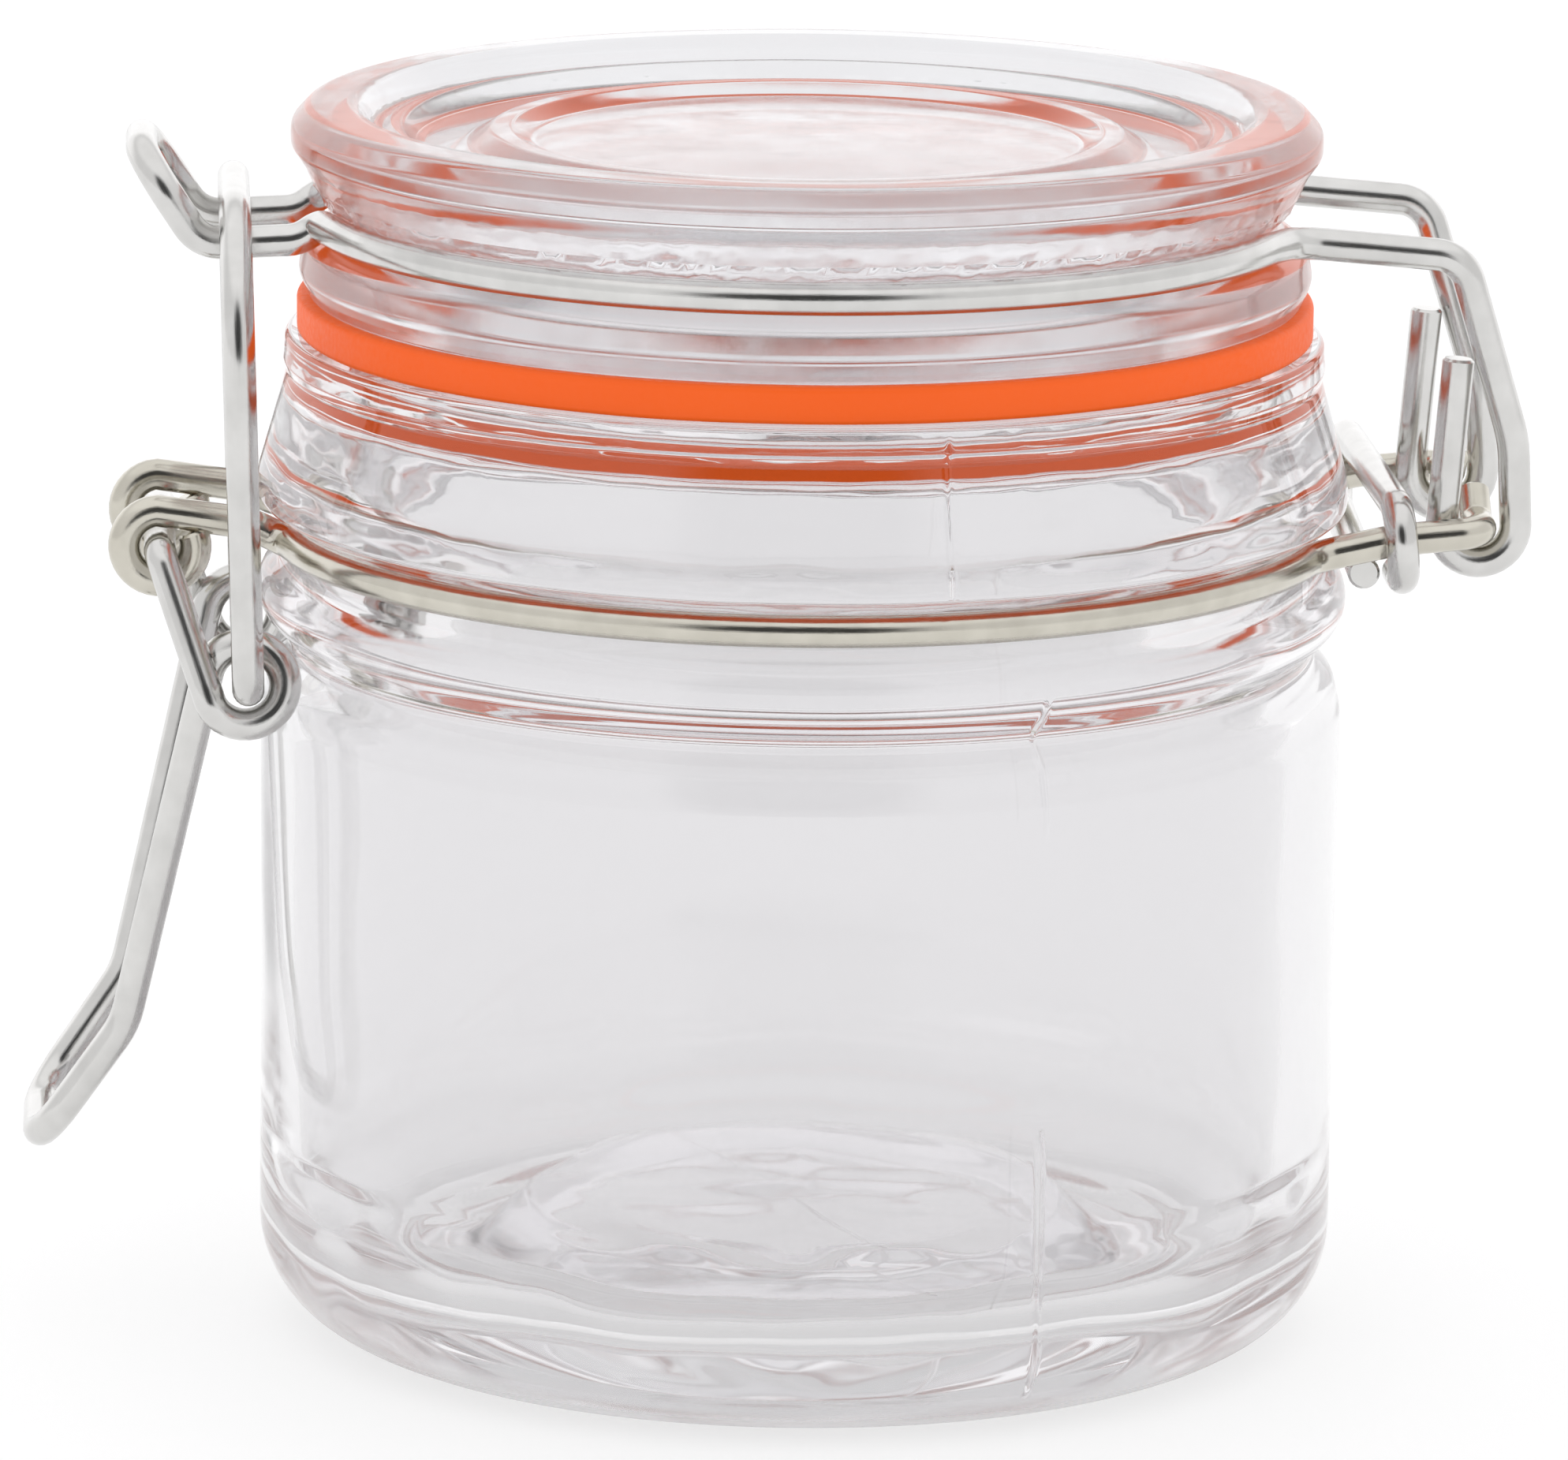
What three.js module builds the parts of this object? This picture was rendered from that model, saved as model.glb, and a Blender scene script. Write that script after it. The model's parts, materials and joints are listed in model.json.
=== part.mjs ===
// Bail clamp jar: a small pressed glass jar whose lid is held down by a bent wire clamp.
// Millimetres, +Z up. +X points to the hinge, -X to the latch, and -Y is the front.
// The origin is on the table, below the middle of the whole object's box.
import * as THREE from 'three';

// Driving dimensions
const AXIS_X = 2; // the jar's axis, from the middle of the object's box
const WIRE = 2; // wire diameter
const GAP = 0.3; // between touching pieces
const FIT = WIRE + GAP; // between the centres of two wires that touch
const TURNS = 48; // flat sides round the glass

// Glass heights and radii
const BODY_R = 33.8;
const BASE_R = 28; // outer edge of the resting ring
const HEEL = 6.4;
const WALL = 3;
const MOUTH_R = 26.8; // the narrowest part of the opening, just under the rim
const BELL_INNER_R = 30.4; // the wider hollow below the mouth
const NECK_INNER_R = 28.4; // inside the wire groove
const SHOULDER_Z = 43.4; // notch above the shoulder
const NECK_WIRE_Z = 50.6;
const NECK_WIRE_R = 32.7;
const RIM_Z = 62.7;
const SEAL_T = 2.1;
const LID_Z = RIM_Z + SEAL_T + 2 * GAP; // underside of the lid's flange
const LID_WIRE_Z = 70.3;
const NOSE_Z = 69.1; // the clamp pulls the nose down a little
const LID_WIRE_R = 30.5;
const LID_TOP_Z = 77;
const GROOVE_R = WIRE / 2 + GAP; // wire grooves are half round

// Pivots, as [x, z] from the jar's axis
const HINGE = [41.4, 52.2];
const LEVER_PIVOT = [-40.1, 50.3];
const LINK_PIVOT = [-34.7, 42.7];
const CURL_CENTRE = [-34.8, 42.6];
const NOSE_SEAT = [-35.5, NOSE_Z + FIT];

// Distances from the middle plane, front and rear alike
const EYE_Y = 5.8;
const NOSE_Y = 5.3;
const HOOK_Y = 8.6;
const SHANK_Y = 10;
const LEG_Y = HOOK_Y + FIT;
const HANDLE_Y = 9.5;
const CURL_Y = HANDLE_Y + FIT;
const LINK_Y = CURL_Y + FIT;

const glass = () => new THREE.MeshStandardMaterial({ color: 0xe6e4e8, roughness: 0.05, metalness: 0 });
const steel = () => new THREE.MeshStandardMaterial({ color: 0xb9b8b2, roughness: 0.28, metalness: 1 });
const rubber = () => new THREE.MeshStandardMaterial({ color: 0xf36422, roughness: 0.6, metalness: 0 });

// Points of an arc in a lathe profile, from one angle to another in degrees
function arc(radius, height, size, from, to, steps) {
  return Array.from({ length: steps + 1 }, (_, k) => {
    const angle = THREE.MathUtils.degToRad(from + ((to - from) * k) / steps);
    return [radius + size * Math.cos(angle), height + size * Math.sin(angle)];
  });
}

// A body of revolution about Z from [radius, height] pairs that run up the outside
function turned(profile) {
  const outline = profile.map(([radius, height]) => new THREE.Vector2(radius, height));
  return new THREE.LatheGeometry(outline, TURNS).rotateX(Math.PI / 2);
}

function jarBody() {
  const inner = BODY_R - WALL;
  return turned([
    [0, 4.4],
    [12, 4],
    [20, 2.4],
    [24.2, 1.7],
    [25.2, 0],
    [BASE_R, 0],
    ...arc(BODY_R - HEEL, HEEL, HEEL, -70, 0, 4),
    [BODY_R, SHOULDER_Z - 3.9],
    [BODY_R - 0.3, SHOULDER_Z - 2.6],
    [BODY_R - 0.9, SHOULDER_Z - 1.6],
    [31.6, SHOULDER_Z],
    ...arc(NECK_WIRE_R - 1.3, NECK_WIRE_Z - 3.9, 2.6, -55, 50, 4),
    ...arc(NECK_WIRE_R, NECK_WIRE_Z, GROOVE_R, -110, -250, 4),
    [34, NECK_WIRE_Z + 1.8],
    [34, NECK_WIRE_Z + 2.6],
    [33.5, 56.8],
    [32, 60.6],
    [32.3, 61.2],
    [32.2, 62.1],
    [31.5, RIM_Z],
    [MOUTH_R + 0.8, RIM_Z],
    [MOUTH_R, RIM_Z - 0.8],
    [MOUTH_R, RIM_Z - 1.8],
    [BELL_INNER_R, RIM_Z - 3.9],
    [BELL_INNER_R, NECK_WIRE_Z + 4.5],
    [BELL_INNER_R - 0.6, NECK_WIRE_Z + 2.6],
    [NECK_INNER_R, NECK_WIRE_Z - 0.2],
    [NECK_INNER_R, SHOULDER_Z + 2.5],
    [NECK_INNER_R + 0.3, SHOULDER_Z + 1],
    [inner - 0.4, SHOULDER_Z - 3],
    [inner, SHOULDER_Z - 4.6],
    ...arc(inner - 6, 10.4, 6, 0, -75, 4),
    [23.4, 4.9],
    [19.6, 5],
    [17, 7.4],
    [14, 7.9],
    [0, 8.1],
  ]);
}

function lidGlass() {
  const plug = 25.3;
  return turned([
    [0, 70.4],
    [20.5, 70.4],
    [22, 69.2],
    [22.6, LID_Z - 4.2],
    [plug - 0.8, LID_Z - 4.2],
    [plug, LID_Z - 3.2],
    [plug, LID_Z],
    [30.6, LID_Z],
    ...arc(29.6, LID_Z + 1.8, 1.8, -40, 45, 3),
    ...arc(LID_WIRE_R, LID_WIRE_Z, GROOVE_R, -115, -245, 4),
    [30.9, LID_WIRE_Z + 2.1],
    [31.5, 74],
    [31.9, 74.7],
    [31.8, 75.6],
    [31, LID_TOP_Z - 0.5],
    [29.8, LID_TOP_Z],
    [28, LID_TOP_Z],
    [26.8, LID_TOP_Z - 1.6],
    [25.4, LID_TOP_Z - 1.1],
    [24, LID_TOP_Z - 2.4],
    [21, LID_TOP_Z - 2.4],
    [19.6, LID_TOP_Z - 1.5],
    [18.4, LID_TOP_Z - 1.5],
    [17, LID_TOP_Z - 2.2],
    [0, LID_TOP_Z - 1.9],
  ]);
}

function sealRing() {
  const bottom = RIM_Z + GAP;
  const top = bottom + SEAL_T;
  return turned([
    [25.8, bottom],
    [31.5, bottom],
    [31.5, top],
    [25.8, top],
    [25.8, bottom],
  ]);
}

// A corner of a bent wire: its place and its centreline bend radius
function corner(x, y, z, bend = 0) {
  return { point: new THREE.Vector3(x, y, z), bend };
}

// Corners on a ring round the jar's axis, from one angle to another in degrees
function ring(radius, height, from, to, steps) {
  return Array.from({ length: steps + 1 }, (_, k) => {
    const angle = THREE.MathUtils.degToRad(from + ((to - from) * k) / steps);
    return corner(radius * Math.cos(angle), radius * Math.sin(angle), height);
  });
}

// Corners of a coil round a line along Y through a pivot, moving from one plane to another
function coil([x, z], radius, from, to, steps, fromY, toY) {
  return Array.from({ length: steps + 1 }, (_, k) => {
    const share = k / steps;
    const angle = THREE.MathUtils.degToRad(from + (to - from) * share);
    const y = fromY + (toY - fromY) * share;
    return corner(x + radius * Math.cos(angle), y, z + radius * Math.sin(angle));
  });
}

// The same corners on the other side of the middle plane, in reverse order
function mirrored(corners) {
  return corners.map(({ point: p, bend }) => corner(p.x, -p.y, p.z, bend)).reverse();
}

// Centreline stations, with each corner rounded to its bend radius
function rounded(corners) {
  const stations = [corners[0].point];
  for (let k = 1; k < corners.length - 1; k += 1) {
    const at = corners[k].point;
    const back = corners[k - 1].point.clone().sub(at).normalize();
    const ahead = corners[k + 1].point.clone().sub(at).normalize();
    const turn = Math.PI - back.angleTo(ahead);
    const bend = corners[k].bend;
    if (bend === 0) {
      stations.push(at);
      continue;
    }
    const middle = back.clone().add(ahead).normalize();
    const centre = at.clone().addScaledVector(middle, bend / Math.cos(turn / 2));
    const start = at.clone().addScaledVector(back, bend * Math.tan(turn / 2)).sub(centre);
    const end = at.clone().addScaledVector(ahead, bend * Math.tan(turn / 2)).sub(centre);
    const axis = start.clone().cross(end).normalize();
    const steps = Math.ceil(turn / 0.45);
    for (let s = 0; s <= steps; s += 1) {
      stations.push(start.clone().applyAxisAngle(axis, (turn * s) / steps).add(centre));
    }
  }
  stations.push(corners[corners.length - 1].point);
  return stations;
}

// A curve that an extrusion follows station by station
class WirePath extends THREE.Curve {
  constructor(stations) {
    super();
    this.stations = stations;
  }

  getSpacedPoints() {
    return this.stations;
  }

  getTangentAt(share, target = new THREE.Vector3()) {
    const last = this.stations.length - 1;
    const k = Math.round(share * last);
    const here = this.stations[k];
    const behind = this.stations[Math.max(k - 1, 0)];
    const ahead = this.stations[Math.min(k + 1, last)];
    const back = here.clone().sub(behind).normalize();
    return target.copy(ahead).sub(here).normalize().add(back).normalize();
  }
}

function wire(corners) {
  const sides = 8;
  const section = new THREE.Shape(
    Array.from({ length: sides }, (_, k) => {
      const angle = (2 * Math.PI * k) / sides;
      return new THREE.Vector2(Math.cos(angle), Math.sin(angle)).multiplyScalar(WIRE / 2);
    }),
  );
  const stations = rounded(corners);
  const extrudePath = new WirePath(stations);
  return new THREE.ExtrudeGeometry(section, { steps: stations.length - 1, extrudePath });
}

// One wire: hinge hook, leg, half ring, nose, and the same again mirrored
function lidWire() {
  const [hingeX, hingeZ] = HINGE;
  const tipX = -41.2;
  const tipZ = 74.6;
  const front = [
    corner(hingeX - FIT + 0.8, -HOOK_Y, hingeZ + 10.5),
    ...coil(HINGE, FIT, 180, 360, 6, -HOOK_Y, -HOOK_Y),
    corner(hingeX + 2, -HOOK_Y - 0.3, hingeZ + 5.4, 8),
    corner(hingeX - 1.6, -SHANK_Y, LID_WIRE_Z - 1, 2.4),
    corner(LID_WIRE_R - 1, -SHANK_Y, LID_WIRE_Z - 0.1, 3),
    ...ring(LID_WIRE_R, LID_WIRE_Z, -26, -164, 16),
    corner(-LID_WIRE_R + 0.2, -NOSE_Y, LID_WIRE_Z, 2.6),
    corner(-LID_WIRE_R - 1, -NOSE_Y, NOSE_Z + 0.3, 6),
    corner(-37.6, -NOSE_Y, NOSE_Z, 2.4),
    corner(tipX, -NOSE_Y, tipZ, 4.4),
  ];
  return wire([...front, ...mirrored(front)]);
}

// Half a neck ring with its eye at the latch and its stub at the hinge
function neckWire(side) {
  const [hingeX, hingeZ] = HINGE;
  const front = [
    corner(hingeX, -LEG_Y + 5.4, hingeZ + 1.6),
    corner(hingeX, -LEG_Y + 3.6, hingeZ, 1.4),
    corner(hingeX, -LEG_Y, hingeZ, 1.4),
    corner(36, -LEG_Y, hingeZ - 0.5, 6),
    corner(NECK_WIRE_R - 1.8, -LEG_Y, NECK_WIRE_Z, 2.6),
    ...ring(NECK_WIRE_R, NECK_WIRE_Z, -25, -165, 16),
    corner(-NECK_WIRE_R + 0.4, -EYE_Y, NECK_WIRE_Z, 2),
    corner(-34.6, -EYE_Y, LEVER_PIVOT[1] + FIT - 0.9, 4),
    ...coil(LEVER_PIVOT, FIT - 0.1, 95, 385, 10, -EYE_Y, -EYE_Y),
  ];
  return wire(side < 0 ? front : mirrored(front));
}

// A small wire loop that binds the two hinge legs together, with its ends side by side below
function hingeTieRing() {
  const x = 35.3;
  const z = HINGE[1] - 0.5;
  const across = LEG_Y + FIT;
  const lean = 1.1;
  return wire([
    corner(x + lean, -LEG_Y + 2, z - FIT),
    corner(x + lean, -across, z - FIT, 2.2),
    corner(x + lean * 0.6, -across, z + FIT, 2.2),
    corner(x, across, z + FIT, 2.2),
    corner(x - lean * 0.4, across, z - FIT, 2.2),
    corner(x - lean, -LEG_Y + 1, z - FIT),
  ]);
}

// One wire: end through an eye, arm, curl, handle strand, and the same again mirrored
function leverHandle() {
  const [x, z] = LEVER_PIVOT;
  const curl = 2.4;
  const front = [
    corner(x, -EYE_Y + 3, z),
    corner(x, -EYE_Y - FIT, z, 1.3),
    ...coil(CURL_CENTRE, curl, 204, 525, 12, -CURL_Y, -HANDLE_Y),
    corner(-42.3, -HANDLE_Y + 2.5, 20.2, 6),
    corner(-47.7, -HANDLE_Y + 3.5, 12.4, 3.6),
  ];
  return wire([...front, ...mirrored(front)]);
}

// A loop that hangs in the lever's curls and passes over the nose
function closingLink() {
  const [x, z] = LINK_PIVOT;
  const [seatX, seatZ] = NOSE_SEAT;
  const front = [
    corner(x, -HANDLE_Y + 1.4, z),
    corner(x, -LINK_Y, z, 1.4),
    corner(seatX, -LINK_Y, seatZ, 8.6),
  ];
  return wire([...front, ...mirrored(front)]);
}

const jar = new THREE.Group();
jar.position.x = AXIS_X;

function add(name, geometry, material) {
  const mesh = new THREE.Mesh(geometry, material);
  mesh.name = name;
  jar.add(mesh);
}

add('jar_body', jarBody(), glass());
add('lid_glass', lidGlass(), glass());
add('seal_ring', sealRing(), rubber());
add('lid_wire', lidWire(), steel());
add('neck_wire_front', neckWire(-1), steel());
add('neck_wire_rear', neckWire(1), steel());
add('hinge_tie_ring', hingeTieRing(), steel());
add('lever_handle', leverHandle(), steel());
add('closing_link', closingLink(), steel());

const bailClampJar = new THREE.Group();
bailClampJar.add(jar);

export default bailClampJar;
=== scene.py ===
import json
import math

import bpy
from mathutils import Matrix, Quaternion, Vector, noise


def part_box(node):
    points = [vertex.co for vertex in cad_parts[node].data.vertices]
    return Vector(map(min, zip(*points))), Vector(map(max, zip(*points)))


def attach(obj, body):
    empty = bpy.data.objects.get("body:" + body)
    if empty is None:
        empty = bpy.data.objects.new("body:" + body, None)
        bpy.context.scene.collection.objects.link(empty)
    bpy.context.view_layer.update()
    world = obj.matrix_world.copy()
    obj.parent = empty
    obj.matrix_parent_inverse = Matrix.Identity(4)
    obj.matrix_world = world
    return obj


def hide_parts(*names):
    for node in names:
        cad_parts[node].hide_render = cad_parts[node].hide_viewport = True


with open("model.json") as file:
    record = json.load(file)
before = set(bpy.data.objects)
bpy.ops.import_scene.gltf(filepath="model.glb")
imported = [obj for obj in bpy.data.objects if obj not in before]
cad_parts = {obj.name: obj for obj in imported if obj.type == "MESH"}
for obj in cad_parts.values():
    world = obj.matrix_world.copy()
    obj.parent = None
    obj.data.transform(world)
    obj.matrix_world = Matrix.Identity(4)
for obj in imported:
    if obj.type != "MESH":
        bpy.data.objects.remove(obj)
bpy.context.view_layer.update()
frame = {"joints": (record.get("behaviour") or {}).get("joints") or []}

# Sizes are in millimetres here and become metres when a mesh is made
MM = 0.001
WIRE = 2.0  # wire diameter
FIT = WIRE + 0.3  # between the centres of two wires that touch
TOUCH = 0.04  # what is left of the gap between a wire and its groove
PRESS = 0.05  # how far the squeezed seal bites into the glass on each side


def millimetres(values):
    return [v / MM for v in values]


def joint_pivot(name):
    """A hinge's [x, z] from the jar's axis, in millimetres."""
    joint = next(j for j in frame["joints"] if j["name"] == name)
    x, _, z = millimetres(joint["pos_m"])
    return x - AXIS_X, z


body_low, body_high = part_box("jar_body")
AXIS_X = (body_low[0] + body_high[0]) / 2 / MM
HINGE = joint_pivot("lid_hinge")
LEVER_PIVOT = joint_pivot("lever_pivot")
LINK_PIVOT = joint_pivot("link_swing")

# Heights and radii of the glass, as in the CAD
BODY_R = 33.8
BASE_R = 28.0
HEEL = 6.4
INNER_R = 30.8
MOUTH_R = 26.8
BELL_INNER_R = 30.4
NECK_INNER_R = 28.4
SHOULDER_Z = 43.4
NECK_WIRE_Z = 50.6
NECK_WIRE_R = 32.7
RIM_Z = 62.9
LID_Z = 65.1
LID_WIRE_Z = 70.3
LID_WIRE_R = 30.5
LID_TOP_Z = 77.0
NOSE_Z = 69.1
GROOVE_R = WIRE / 2 + TOUCH

# Distances of the wires from the middle plane
EYE_Y = 5.8
NOSE_Y = 5.3
HOOK_Y = 8.6
SHANK_Y = 10.0
LEG_Y = HOOK_Y + FIT
HANDLE_Y = 9.5
CURL_Y = HANDLE_Y + FIT
LINK_Y = CURL_Y + FIT


# ---------------------------------------------------------------- outlines

def corner(x, y, z, bend=0.0):
    return Vector((x, y, z)), bend


def rounded(corners, step=0.12):
    """Points along the corners, each rounded to its bend radius with a point every step radians."""
    points = [corners[0][0]]
    for (before, _), (at, bend), (after, _) in zip(corners, corners[1:], corners[2:]):
        back = before - at
        ahead = after - at
        turn = math.pi - back.angle(ahead)
        if bend == 0 or turn < 0.01:
            points.append(at)
            continue
        reach = min(bend * math.tan(turn / 2), 0.49 * back.length, 0.49 * ahead.length)
        bend = reach / math.tan(turn / 2)
        back.normalize()
        ahead.normalize()
        centre = at + (back + ahead).normalized() * (bend / math.cos(turn / 2))
        start = at + back * reach - centre
        axis = start.cross(at + ahead * reach - centre)
        steps = max(2, math.ceil(turn / step))
        for k in range(steps + 1):
            points.append(centre + Quaternion(axis, turn * k / steps) @ start)
    points.append(corners[-1][0])
    return points


def filled(points, spacing):
    """The same line with points no further apart than spacing."""
    line = [points[0]]
    for a, b in zip(points, points[1:]):
        steps = max(1, math.ceil((b - a).length / spacing))
        line.extend(a.lerp(b, k / steps) for k in range(1, steps + 1))
    return line


def arc(radius, height, size, start, end, steps=10):
    """Profile corners round a centre, from one angle to another in degrees."""
    angles = [math.radians(start + (end - start) * k / steps) for k in range(steps + 1)]
    return [(radius + size * math.cos(a), height + size * math.sin(a), 0) for a in angles]


# ---------------------------------------------------------------- meshes

def make_object(name, points, faces, material, loops_uv=None, sharp=None):
    """A mesh object from points in millimetres round the jar's axis."""
    mesh = bpy.data.meshes.new(name)
    shift = Vector((AXIS_X, 0, 0))
    mesh.from_pydata([(p + shift) * MM for p in points], [], faces)
    if loops_uv:
        layer = mesh.uv_layers.new(name="along")
        for loop, uv in zip(layer.data, loops_uv):
            loop.uv = uv
    mesh.materials.append(material)
    mesh.shade_smooth()
    if sharp:
        mesh.set_sharp_from_angle(angle=math.radians(sharp))
    made = bpy.data.objects.new(name, mesh)
    bpy.context.scene.collection.objects.link(made)
    return made


def seam_angles(count, seams, reach=1.2, steps=9):
    """Evenly spaced angles in radians, with more close to each mould seam in degrees."""
    angles = {round(2 * math.pi * k / count, 6) for k in range(count)}
    for seam in seams:
        for k in range(-steps, steps + 1):
            angles.add(round(math.radians(seam + reach * k / steps) % (2 * math.pi), 6))
    return sorted(angles)


def profile_line(profile, spacing):
    return filled(rounded([(Vector((r, 0, z)), bend) for r, z, bend in profile]), spacing)


def turned(name, outside, inside, material, relief, count=256, seams=(), spacing=0.5):
    """A closed body of revolution, from the axis up its outside and back down its inside.

    relief(point, angle, is_inside) raises its surface, in millimetres.
    """
    outer_line = profile_line(outside, spacing)
    outline = outer_line + profile_line(inside, spacing)
    first_inside = len(outer_line) - 1
    inner = outline[1:-1]
    normals = []
    for before, after in zip(outline, outline[2:]):
        along = (after - before).normalized()
        normals.append(Vector((along.z, 0, -along.x)))
    angles = seam_angles(count, seams)
    points = [outline[0], outline[-1]]
    faces = []
    rows = len(inner)
    for column, angle in enumerate(angles):
        spin = Matrix.Rotation(angle, 3, "Z")
        for k, (p, n) in enumerate(zip(inner, normals)):
            at = spin @ p
            points.append(at + (spin @ n) * relief(at, angle, k >= first_inside))
        start = 2 + column * rows
        following = 2 + ((column + 1) % len(angles)) * rows
        faces.append((0, following, start))
        faces.append((1, start + rows - 1, following + rows - 1))
        for k in range(rows - 1):
            faces.append((start + k, following + k, following + k + 1, start + k + 1))
    return make_object(name, points, faces, material)


def ring_of(name, profile, material, relief, count=256, spacing=0.5):
    """A body of revolution whose closed profile stays off the axis."""
    outline = profile_line(profile, spacing)[:-1]
    rows = len(outline)
    points = []
    faces = []
    for column in range(count):
        angle = 2 * math.pi * column / count
        spin = Matrix.Rotation(angle, 3, "Z")
        for k, p in enumerate(outline):
            along = (outline[(k + 1) % rows] - outline[k - 1]).normalized()
            at = spin @ p
            points.append(at + (spin @ Vector((along.z, 0, -along.x))) * relief(at))
        start, following = column * rows, ((column + 1) % count) * rows
        for k in range(rows):
            nxt = (k + 1) % rows
            faces.append((start + k, following + k, following + nxt, start + nxt))
    return make_object(name, points, faces, material)


def wire(name, corners, material, sides=20, radius=WIRE / 2):
    """A round wire swept along its corners, with cut ends that have a small chamfer."""
    line = filled(rounded(corners), 1.2)
    tangents = []
    for k in range(len(line)):
        tangents.append((line[min(k + 1, len(line) - 1)] - line[max(k - 1, 0)]).normalized())
    up = tangents[0].orthogonal().normalized()
    chamfer = 0.16
    first, last = line[0], line[-1]
    stations = [(first, radius - chamfer), (first + tangents[0] * chamfer, radius)]
    stations += [(p, radius) for p in line[1:-1]]
    stations += [(last - tangents[-1] * chamfer, radius), (last, radius - chamfer)]
    tangents = [tangents[0]] + tangents + [tangents[-1]]
    points = []
    lengths = []
    travelled = 0.0
    before = stations[0][0]
    for (at, size), along in zip(stations, tangents):
        up = (up - along * up.dot(along)).normalized()
        side = along.cross(up)
        travelled += (at - before).length
        before = at
        lengths.append(travelled)
        for k in range(sides):
            angle = 2 * math.pi * k / sides
            points.append(at + (up * math.cos(angle) + side * math.sin(angle)) * size)
    faces = []
    uvs = []
    for row in range(len(stations) - 1):
        for k in range(sides):
            nxt = (k + 1) % sides
            a, b = row * sides, (row + 1) * sides
            faces.append((a + k, a + nxt, b + nxt, b + k))
            low, high = lengths[row] / 10, lengths[row + 1] / 10
            uvs += [(low, k / sides), (low, (k + 1) / sides), (high, (k + 1) / sides), (high, k / sides)]
    end = (len(stations) - 1) * sides
    faces.append(tuple(reversed(range(sides))))
    faces.append(tuple(range(end, end + sides)))
    uvs += [(0, 0)] * (2 * sides)
    return make_object(name, points, faces, material, loops_uv=uvs, sharp=35)


# ---------------------------------------------------------------- materials

def new_material(name):
    material = bpy.data.materials.new(name)
    material.use_nodes = True
    nodes = material.node_tree.nodes
    return material, nodes, material.node_tree.links, nodes["Principled BSDF"]


def add_node(nodes, kind, **inputs):
    made = nodes.new(kind)
    for name, value in inputs.items():
        made.inputs[name.replace("_", " ")].default_value = value
    return made


def glass_material(name, tint, wave, haze, wear_height=None):
    """Clear soda-lime glass: a slight waviness, faint handling marks and a grey cast where it is thick.

    Below wear_height, in metres, the surface is dulled by standing on shelves.
    """
    material, nodes, links, shader = new_material(name)
    shader.inputs["Base Color"].default_value = tint
    shader.inputs["Transmission Weight"].default_value = 1.0
    shader.inputs["IOR"].default_value = 1.52
    place = nodes.new("ShaderNodeTexCoord")
    waves = add_node(nodes, "ShaderNodeTexNoise", Scale=70.0, Detail=1.0)
    links.new(place.outputs["Object"], waves.inputs["Vector"])
    bump = add_node(nodes, "ShaderNodeBump", Strength=wave, Distance=0.001)
    links.new(waves.outputs["Fac"], bump.inputs["Height"])
    links.new(bump.outputs["Normal"], shader.inputs["Normal"])
    marks = add_node(nodes, "ShaderNodeTexNoise", Scale=260.0, Detail=4.0, Roughness=0.6)
    links.new(place.outputs["Object"], marks.inputs["Vector"])
    rough = add_node(nodes, "ShaderNodeMapRange", From_Min=0.4, From_Max=0.75, To_Min=haze / 3, To_Max=haze)
    links.new(marks.outputs["Fac"], rough.inputs["Value"])
    roughness = rough.outputs["Result"]
    if wear_height:
        split = nodes.new("ShaderNodeSeparateXYZ")
        links.new(place.outputs["Object"], split.inputs["Vector"])
        wear = add_node(nodes, "ShaderNodeMapRange", From_Min=0.3 * wear_height, From_Max=wear_height,
                        To_Min=0.3, To_Max=0.0)
        links.new(split.outputs["Z"], wear.inputs["Value"])
        dulled = nodes.new("ShaderNodeMath")
        dulled.operation = "MAXIMUM"
        links.new(roughness, dulled.inputs[0])
        links.new(wear.outputs["Result"], dulled.inputs[1])
        roughness = dulled.outputs["Value"]
    links.new(roughness, shader.inputs["Roughness"])
    volume = nodes.new("ShaderNodeVolumeAbsorption")
    volume.inputs["Color"].default_value = (0.66, 0.66, 0.68, 1)
    volume.inputs["Density"].default_value = 6.0
    links.new(volume.outputs["Volume"], nodes["Material Output"].inputs["Volume"])
    return material


def steel_material(name, dull, bright):
    """Bright plated wire with fine drawing lines along it and slightly duller patches."""
    material, nodes, links, shader = new_material(name)
    shader.inputs["Metallic"].default_value = 1.0
    place = nodes.new("ShaderNodeTexCoord")
    stretch = nodes.new("ShaderNodeMapping")
    stretch.inputs["Scale"].default_value = (1.5, 26.0, 1.0)
    links.new(place.outputs["UV"], stretch.inputs["Vector"])
    lines = add_node(nodes, "ShaderNodeTexNoise", Scale=3.0, Detail=6.0, Roughness=0.65)
    links.new(stretch.outputs["Vector"], lines.inputs["Vector"])
    bump = add_node(nodes, "ShaderNodeBump", Strength=0.15, Distance=0.00005)
    links.new(lines.outputs["Fac"], bump.inputs["Height"])
    links.new(bump.outputs["Normal"], shader.inputs["Normal"])
    patches = add_node(nodes, "ShaderNodeTexNoise", Scale=420.0, Detail=3.0)
    links.new(place.outputs["Object"], patches.inputs["Vector"])
    tone = nodes.new("ShaderNodeMix")
    tone.data_type = "RGBA"
    tone.inputs["A"].default_value = dull
    tone.inputs["B"].default_value = bright
    links.new(patches.outputs["Fac"], tone.inputs["Factor"])
    links.new(tone.outputs["Result"], shader.inputs["Base Color"])
    rough = add_node(nodes, "ShaderNodeMapRange", From_Min=0.3, From_Max=0.7, To_Min=0.09, To_Max=0.2)
    links.new(lines.outputs["Fac"], rough.inputs["Value"])
    links.new(rough.outputs["Result"], shader.inputs["Roughness"])
    return material


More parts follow.
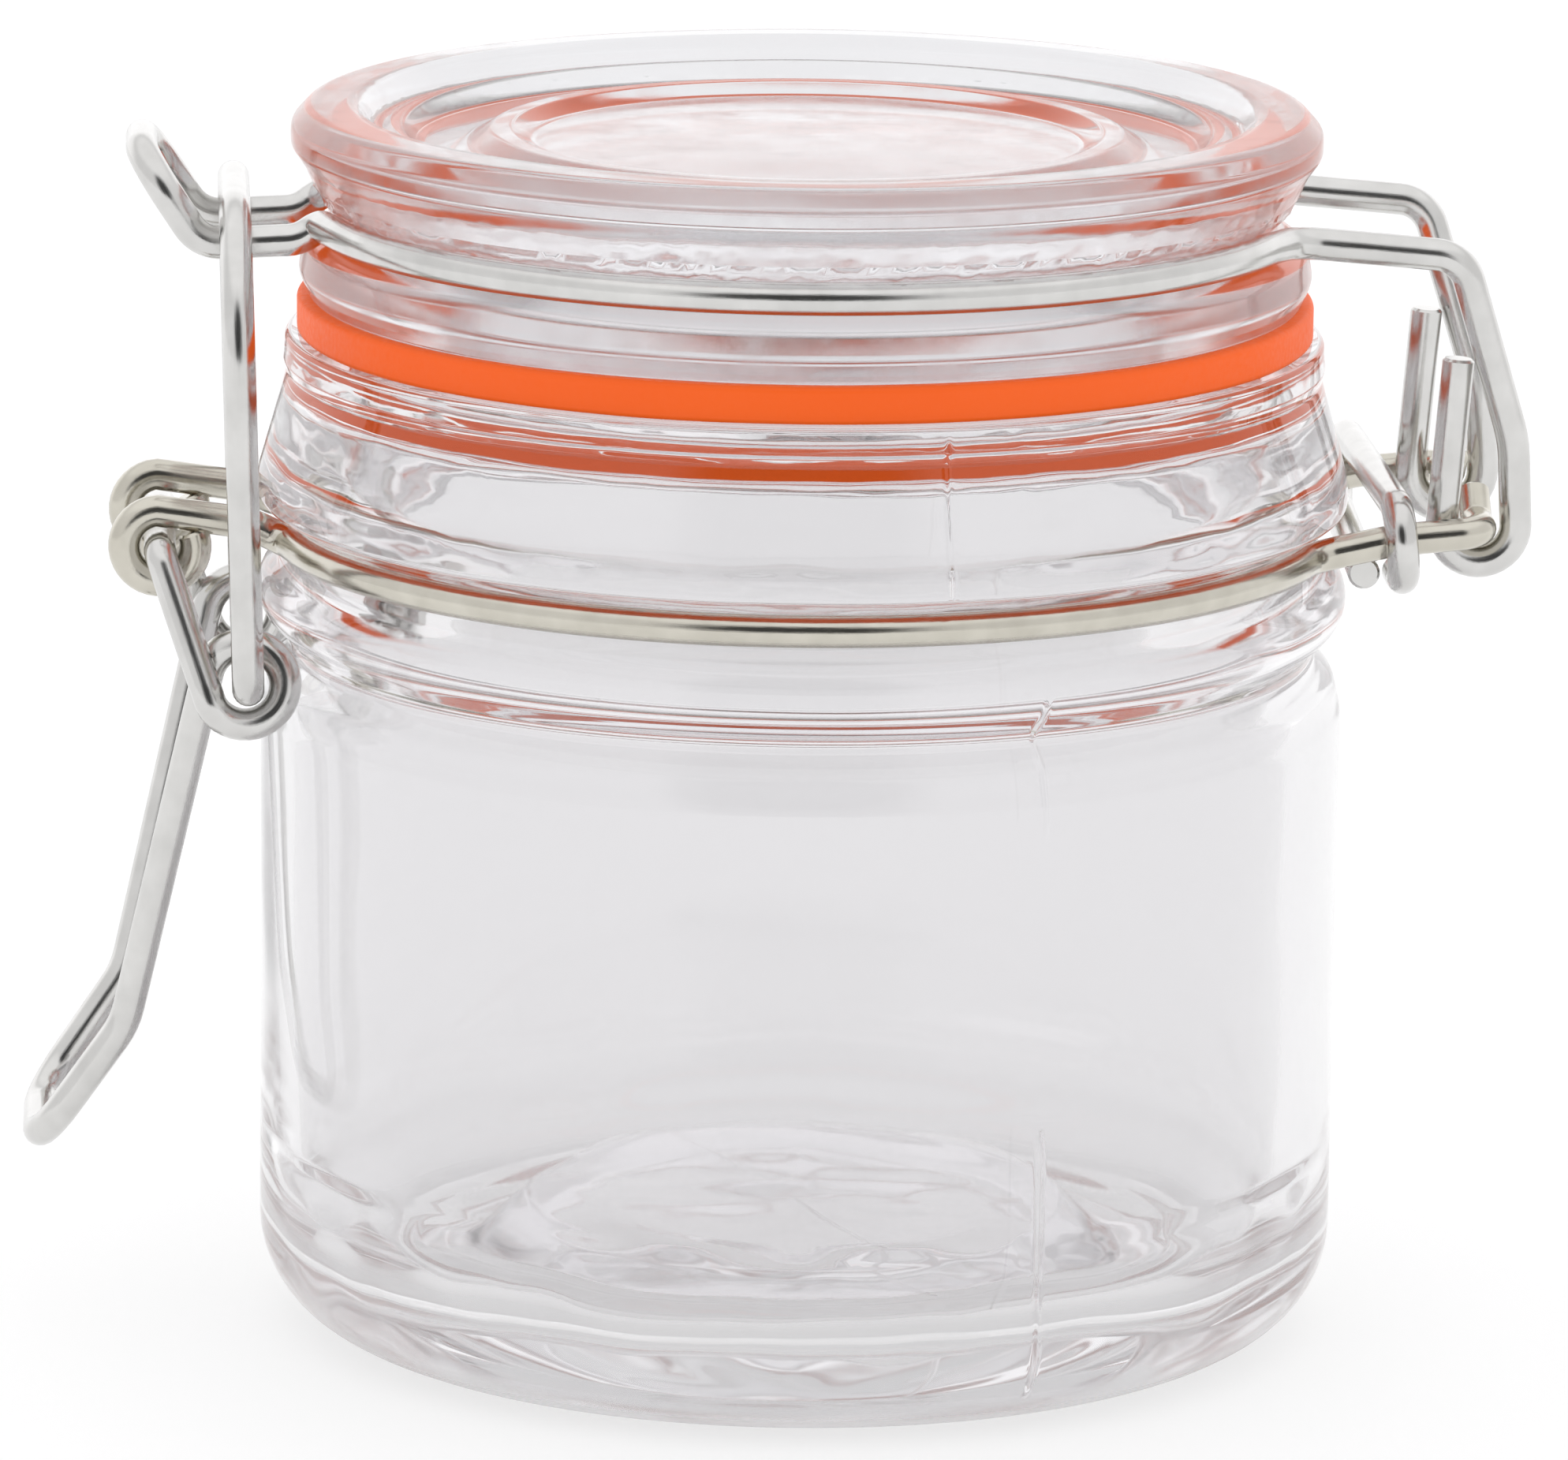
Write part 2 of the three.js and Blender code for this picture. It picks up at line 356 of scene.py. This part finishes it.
def rubber_material():
    """Orange moulded rubber: matte, very finely grained, a little uneven in tone, with a painted orange
    glow.
    """
    material, nodes, links, shader = new_material("orange_rubber")
    place = nodes.new("ShaderNodeTexCoord")
    clouds = add_node(nodes, "ShaderNodeTexNoise", Scale=70.0, Detail=4.0)
    links.new(place.outputs["Object"], clouds.inputs["Vector"])
    tone = nodes.new("ShaderNodeMix")
    tone.data_type = "RGBA"
    tone.inputs["A"].default_value = (0.62, 0.068, 0.003, 1)
    tone.inputs["B"].default_value = (0.67, 0.095, 0.008, 1)
    links.new(clouds.outputs["Fac"], tone.inputs["Factor"])
    links.new(tone.outputs["Result"], shader.inputs["Base Color"])
    # Painted glow: an even orange emission that lightens the seal where it is seen through the glass,
    # standing in for light that reaches it there
    shader.inputs["Emission Color"].default_value = (1, 0.14, 0.012, 1)
    shader.inputs["Emission Strength"].default_value = 0.36
    shader.inputs["Specular IOR Level"].default_value = 0.3
    grain = add_node(nodes, "ShaderNodeTexNoise", Scale=2600.0, Detail=3.0)
    links.new(place.outputs["Object"], grain.inputs["Vector"])
    bump = add_node(nodes, "ShaderNodeBump", Strength=0.3, Distance=0.00005)
    links.new(grain.outputs["Fac"], bump.inputs["Height"])
    links.new(bump.outputs["Normal"], shader.inputs["Normal"])
    rough = add_node(nodes, "ShaderNodeMapRange", From_Min=0.3, From_Max=0.7, To_Min=0.42, To_Max=0.58)
    links.new(grain.outputs["Fac"], rough.inputs["Value"])
    links.new(rough.outputs["Result"], shader.inputs["Roughness"])
    return material


# ---------------------------------------------------------------- glass

BELL_SEAM = -78.0  # mould seams, in degrees round the axis from +X
BODY_SEAM = -67.5
TWIN_SEAM = 0.25  # how high a seam's twin stands, as a share of the seam
SPARKLE_BAND = LID_WIRE_Z + 0.6, LID_WIRE_Z + 1.9  # coarse stipple just over the lid's groove
GRAIN_BAND = LID_WIRE_Z + 2.3, LID_WIRE_Z + 3.6  # fine stipple above it
STIPPLE_R = 29.4  # both bands are outside this radius
WORN_HEIGHT = 3.5 * MM


def ridge(angle, seam, width=0.3, height=0.2):
    """A mould seam's raised line at an angle, and its twin half a turn away."""
    from_seam = abs((math.degrees(angle) - seam + 180) % 360 - 180)
    off = min(from_seam, 180 - from_seam)
    if from_seam > 90:
        height *= TWIN_SEAM
    return height * math.exp(-((off / width) ** 2))


def jar_relief(point, angle, is_inside):
    """Uneven walls, the drawn streaks of the pressed neck, and the mould seams."""
    z = point.z
    if is_inside:
        if z > SHOULDER_Z + 6:
            along = angle * BELL_INNER_R
            drawn = 0.06 * noise.noise(Vector((along / 5, 3.0, z / 1.1)))
            return drawn + 0.03 * noise.noise(Vector((along / 1.6, 7.0, z / 0.45)))
        if z > 12:
            return 0.2 * noise.noise(Vector((point.x / 11, point.y / 11, z / 26)))
        return 0.5 * noise.noise(point / 10.0) + 0.08 * noise.noise(point / 3.5)
    rise = 0.05 * noise.noise(point / 15.0)
    if NECK_WIRE_Z + 2 < z < RIM_Z - 1.5:
        rise += ridge(angle, BELL_SEAM)
        rise += 0.012 * noise.noise(Vector((point.x / 7, point.y / 7, z / 0.9)))
    elif 2.5 < z < 19 or 38 < z < SHOULDER_Z + 3:
        rise += ridge(angle, BODY_SEAM)
    return rise if z > 1.5 else 0.0


def jar_glass(material):
    outside = [
        (0, 4.4, 0),
        (12, 4, 8),
        (20, 2.4, 2),
        (24.2, 1.7, 1),
        (25.4, 0, 0.8),
        (BASE_R, 0, 1.5),
        *arc(BODY_R - HEEL, HEEL, HEEL, -70, 0),
        (BODY_R, SHOULDER_Z - 3.9, 3),
        (BODY_R - 0.5, SHOULDER_Z - 1.8, 1.6),
        (31.6, SHOULDER_Z, 0.8),
        *arc(NECK_WIRE_R - 1.3, NECK_WIRE_Z - 3.9, 2.6, -55, 50),
        *arc(NECK_WIRE_R, NECK_WIRE_Z, GROOVE_R, -115, -245, 12),
        (34, NECK_WIRE_Z + 1.9, 0.6),
        (34, NECK_WIRE_Z + 3.4, 3),
        (32.2, 60.4, 0.7),
        (32.45, 61.2, 0.5),
        (32.3, RIM_Z - 0.1, 0.5),
        (31.5, RIM_Z, 0),
    ]
    inside = [
        (MOUTH_R + 1, RIM_Z, 0),
        (MOUTH_R, RIM_Z - 0.8, 0.5),
        (MOUTH_R, 60.9, 0.6),
        (BELL_INNER_R, 58.8, 1.2),
        (BELL_INNER_R, NECK_WIRE_Z + 3.5, 3),
        (NECK_INNER_R, NECK_WIRE_Z - 0.5, 3),
        (NECK_INNER_R, SHOULDER_Z + 1.5, 3),
        (INNER_R, SHOULDER_Z - 3.6, 5),
        *arc(INNER_R - 6, 10.4, 6, 0, -75),
        (23.6, 4.9, 1),
        (22, 4.1, 1),
        (20, 4.3, 0.8),
        (18.6, 5.9, 0.6),
        (17, 7.6, 1),
        (14, 8, 3),
        (0, 8.2, 0),
    ]
    seams = [seam + half for seam in (BELL_SEAM, BODY_SEAM) for half in (0, 180)]
    return turned("jar_glass", outside, inside, material, jar_relief, seams=seams, spacing=0.56)


def lid_relief(point, angle, is_inside):
    """Small waves, and the pressed stipple on the slope over the wire groove."""
    rise = 0.05 * noise.noise(point / 14.0)
    if math.hypot(point.x, point.y) > STIPPLE_R:
        if SPARKLE_BAND[0] < point.z < SPARKLE_BAND[1]:
            rise += 0.16 * noise.noise(point / 0.6)
        elif GRAIN_BAND[0] < point.z < GRAIN_BAND[1]:
            rise += 0.05 * noise.noise(point / 0.4)
    return rise


def lid_glass(material):
    plug = 25.3
    low = LID_Z - 3.9
    side = [
        (0, 70.4, 0),
        (20.5, 70.4, 1.2),
        (22.2, 69.2, 1),
        (22.6, low, 0.7),
        (plug, low, 0.9),
        (plug, LID_Z, 0.5),
        (30.8, LID_Z, 0.5),
        (31.5, LID_Z + 1.6, 1.3),
        (31.2, LID_Z + 3.4, 1.2),
        *arc(LID_WIRE_R, LID_WIRE_Z, GROOVE_R, -115, -245, 12),
        (30.6, LID_WIRE_Z + 1.9, 0.8),
        (31.2, LID_WIRE_Z + 3.2, 1),
        (32, 74.6, 0.8),
        (32, 75.8, 0.9),
        (30.9, LID_TOP_Z, 1.2),
        (28.6, LID_TOP_Z, 0),
    ]
    top = [
        (28, LID_TOP_Z, 0.4),
        (26.8, LID_TOP_Z - 1.6, 0.8),
        (25.4, LID_TOP_Z - 1.1, 1),
        (24, LID_TOP_Z - 2.4, 1),
        (21, LID_TOP_Z - 2.4, 1),
        (19.6, LID_TOP_Z - 1.5, 0.8),
        (18.4, LID_TOP_Z - 1.5, 0.8),
        (17, LID_TOP_Z - 2.2, 1.2),
        (0, LID_TOP_Z - 1.9, 0),
    ]
    return turned("lid_glass_pressing", side, top, material, lid_relief, count=390, spacing=0.56)


def seal_relief(point):
    return 0.03 * noise.noise(point / 4.0)


def seal_ring(material):
    low, high = RIM_Z - PRESS, LID_Z + PRESS
    middle = (low + high) / 2
    inner, outer = 25.8, 31.6
    profile = [
        (inner, middle, 0),
        (inner, low, 0.35),
        (outer, low, 0.35),
        (outer, high, 0.35),
        (inner, high, 0.35),
        (inner, middle, 0),
    ]
    return ring_of("seal_rubber", profile, material, seal_relief)


# ---------------------------------------------------------------- wires

def ring(radius, height, start, end, steps=90):
    """Corners on a ring round the jar's axis, from one angle to another in degrees."""
    angles = [math.radians(start + (end - start) * k / steps) for k in range(steps + 1)]
    return [corner(radius * math.cos(a), radius * math.sin(a), height) for a in angles]


def coil(centre, radius, start, end, from_y, to_y):
    """Corners of a coil round a line along Y, from one plane to another."""
    steps = math.ceil(abs(end - start) / 10)
    corners = []
    for k in range(steps + 1):
        share = k / steps
        angle = math.radians(start + (end - start) * share)
        x = centre[0] + radius * math.cos(angle)
        z = centre[1] + radius * math.sin(angle)
        corners.append(corner(x, from_y + (to_y - from_y) * share, z))
    return corners


def mirrored(corners):
    """The same corners on the other side of the middle plane, in reverse order."""
    return [(Vector((p.x, -p.y, p.z)), bend) for p, bend in reversed(corners)]


def lid_wire(material):
    x, z = HINGE
    front = [
        corner(x - FIT + 0.8, -HOOK_Y, z + 10.5),
        *coil(HINGE, FIT, 180, 360, -HOOK_Y, -HOOK_Y),
        corner(x + 2, -HOOK_Y - 0.3, z + 5.4, 8),
        corner(x - 1.6, -SHANK_Y, LID_WIRE_Z - 1, 2.4),
        corner(LID_WIRE_R - 1, -SHANK_Y, LID_WIRE_Z - 0.1, 3),
        *ring(LID_WIRE_R, LID_WIRE_Z, -26, -164),
        corner(-LID_WIRE_R + 0.2, -NOSE_Y, LID_WIRE_Z, 2.6),
        corner(-LID_WIRE_R - 1, -NOSE_Y, NOSE_Z + 0.3, 6),
        corner(-37.6, -NOSE_Y, NOSE_Z, 2.4),
        corner(-41.2, -NOSE_Y, 74.6, 4.4),
    ]
    return wire("lid_wire_bent", front + mirrored(front), material)


def neck_wire(side, material):
    x, z = HINGE
    front = [
        corner(x, -LEG_Y + 5.4, z + 1.6),
        corner(x, -LEG_Y + 3.6, z, 1.4),
        corner(x, -LEG_Y, z, 1.4),
        corner(36, -LEG_Y, z - 0.5, 6),
        corner(NECK_WIRE_R - 1.8, -LEG_Y, NECK_WIRE_Z, 2.6),
        *ring(NECK_WIRE_R, NECK_WIRE_Z, -25, -165),
        corner(-NECK_WIRE_R + 0.4, -EYE_Y, NECK_WIRE_Z, 2),
        corner(-34.6, -EYE_Y, LEVER_PIVOT[1] + FIT - 0.9, 4),
        *coil(LEVER_PIVOT, FIT - 0.1, 95, 385, -EYE_Y, -EYE_Y),
    ]
    if side == "rear":
        front = mirrored(front)
    return wire(f"neck_wire_{side}_bent", front, material)


def tie_ring(material):
    x = 35.3
    z = HINGE[1] - 0.5
    across = LEG_Y + FIT
    lean = 1.1
    corners = [
        corner(x + lean, -LEG_Y + 2, z - FIT),
        corner(x + lean, -across, z - FIT, 2.2),
        corner(x + lean * 0.6, -across, z + FIT, 2.2),
        corner(x, across, z + FIT, 2.2),
        corner(x - lean * 0.4, across, z - FIT, 2.2),
        corner(x - lean, -LEG_Y + 1, z - FIT),
    ]
    return wire("hinge_tie_wire", corners, material)


def lever(material):
    x, z = LEVER_PIVOT
    front = [
        corner(x, -EYE_Y + 3, z),
        corner(x, -EYE_Y - FIT, z, 1.3),
        *coil((-34.8, 42.6), 2.4, 204, 525, -CURL_Y, -HANDLE_Y),
        corner(-42.3, -HANDLE_Y + 2.5, 20.2, 6),
        corner(-47.7, -HANDLE_Y + 3.5, 12.4, 3.6),
    ]
    return wire("lever_handle_bent", front + mirrored(front), material)


def closing_link(material):
    x, z = LINK_PIVOT
    front = [
        corner(x, -HANDLE_Y + 1.4, z),
        corner(x, -LINK_Y, z, 1.4),
        corner(-35.5, -LINK_Y, NOSE_Z + FIT, 8.6),
    ]
    return wire("closing_link_bent", front + mirrored(front), material)


# ---------------------------------------------------------------- studio

def studio_world():
    """Soft white surroundings, brighter overhead and at the rear, with a dark patch to the front."""
    world = bpy.data.worlds.new("studio")
    bpy.context.scene.world = world
    world.use_nodes = True
    nodes, links = world.node_tree.nodes, world.node_tree.links
    place = nodes.new("ShaderNodeTexCoord")
    split = nodes.new("ShaderNodeSeparateXYZ")
    links.new(place.outputs["Generated"], split.inputs["Vector"])

    def ramp(source, low, high, out_low, out_high):
        made = add_node(nodes, "ShaderNodeMapRange", From_Min=low, From_Max=high,
                        To_Min=out_low, To_Max=out_high)
        made.interpolation_type = "SMOOTHSTEP"
        links.new(source, made.inputs["Value"])
        return made.outputs["Result"]

    def combine(operation, a, b):
        made = nodes.new("ShaderNodeMath")
        made.operation = operation
        for socket, value in zip(made.inputs, (a, b)):
            if isinstance(value, float):
                socket.default_value = value
            else:
                links.new(value, socket)
        return made.outputs["Value"]

    up = split.outputs["Z"]
    facing = nodes.new("ShaderNodeVectorMath")
    facing.operation = "DOT_PRODUCT"
    links.new(place.outputs["Generated"], facing.inputs[0])
    facing.inputs[1].default_value = (-0.06, -0.95, 0.31)
    overhead = ramp(up, 0.55, 0.8, 0.0, 0.2)
    rearward = ramp(split.outputs["Y"], 0.2, 0.75, 0.0, 0.35)
    behind = combine("MULTIPLY", rearward, ramp(up, 0.6, 0.35, 0.0, 1.0))
    dark = ramp(facing.outputs["Value"], 0.86, 0.96, 0.0, 0.84)
    level = combine("SUBTRACT", 0.9, dark)
    level = combine("ADD", level, behind)
    links.new(combine("ADD", level, overhead), nodes["Background"].inputs["Strength"])
    nodes["Background"].inputs["Color"].default_value = (1.0, 0.995, 1.0, 1)


def floor():
    material, _, _, shader = new_material("pale_floor")
    shader.inputs["Base Color"].default_value = (0.32, 0.32, 0.322, 1)
    shader.inputs["Roughness"].default_value = 0.8
    shader.inputs["Emission Color"].default_value = (1, 1, 1, 1)
    shader.inputs["Emission Strength"].default_value = 0.70
    bpy.ops.mesh.primitive_circle_add(vertices=96, radius=6.0, fill_type="NGON")
    made = bpy.context.object
    made.name = "floor"
    made.data.materials.append(material)


def camera():
    """At the photograph's viewing angle, rolled a little."""
    azimuth = math.radians(-3.5)
    distance, height = 0.667, 0.186
    axis_x = AXIS_X * MM
    eye = Vector((axis_x + distance * math.sin(azimuth), -distance * math.cos(azimuth), height))
    aim = Vector((axis_x - 0.0010, 0, 0.0373))
    data = bpy.data.cameras.new("camera")
    data.lens = 250
    data.sensor_width = 36
    made = bpy.data.objects.new("camera", data)
    look = (aim - eye).to_track_quat("-Z", "Y")
    roll = Quaternion((0, 0, 1), math.radians(0.7))
    made.location = eye
    made.rotation_mode = "QUATERNION"
    made.rotation_quaternion = look @ roll
    bpy.context.scene.collection.objects.link(made)
    bpy.context.scene.camera = made


# ---------------------------------------------------------------- the scene

camera()
studio_world()
floor()
bpy.context.scene.view_settings.view_transform = "Standard"

# Light crosses many layers of thick glass, and too few bounces would turn them black
light_paths = bpy.context.scene.cycles
light_paths.max_bounces = 48
light_paths.transmission_bounces = 48
light_paths.glossy_bounces = 48

body_glass = glass_material("body_glass", (0.86, 0.855, 0.863, 1), 0.10, 0.08, wear_height=WORN_HEIGHT)
pressed_glass = glass_material("pressed_glass", (0.83, 0.83, 0.845, 1), 0.16, 0.25)
steel = steel_material("plated_wire", (0.56, 0.555, 0.54, 1), (0.76, 0.755, 0.74, 1))
neck_steel = steel_material("plated_neck_wire", (0.50, 0.475, 0.41, 1), (0.70, 0.675, 0.60, 1))
rubber = rubber_material()

PIECES = [
    (jar_glass(body_glass), "jar_body", "jar", "glass"),
    (lid_glass(pressed_glass), "lid_glass", "lid", "glass"),
    (seal_ring(rubber), "seal_ring", "lid", "seal"),
    (lid_wire(steel), "lid_wire", "lid", "wire"),
    (neck_wire("front", neck_steel), "neck_wire_front", "jar", "wire"),
    (neck_wire("rear", neck_steel), "neck_wire_rear", "jar", "wire"),
    (tie_ring(steel), "hinge_tie_ring", "jar", "wire"),
    (lever(steel), "lever_handle", "lever", "wire"),
    (closing_link(steel), "closing_link", "link", "wire"),
]
for piece, node, body, slot in PIECES:
    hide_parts(node)
    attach(piece, body)
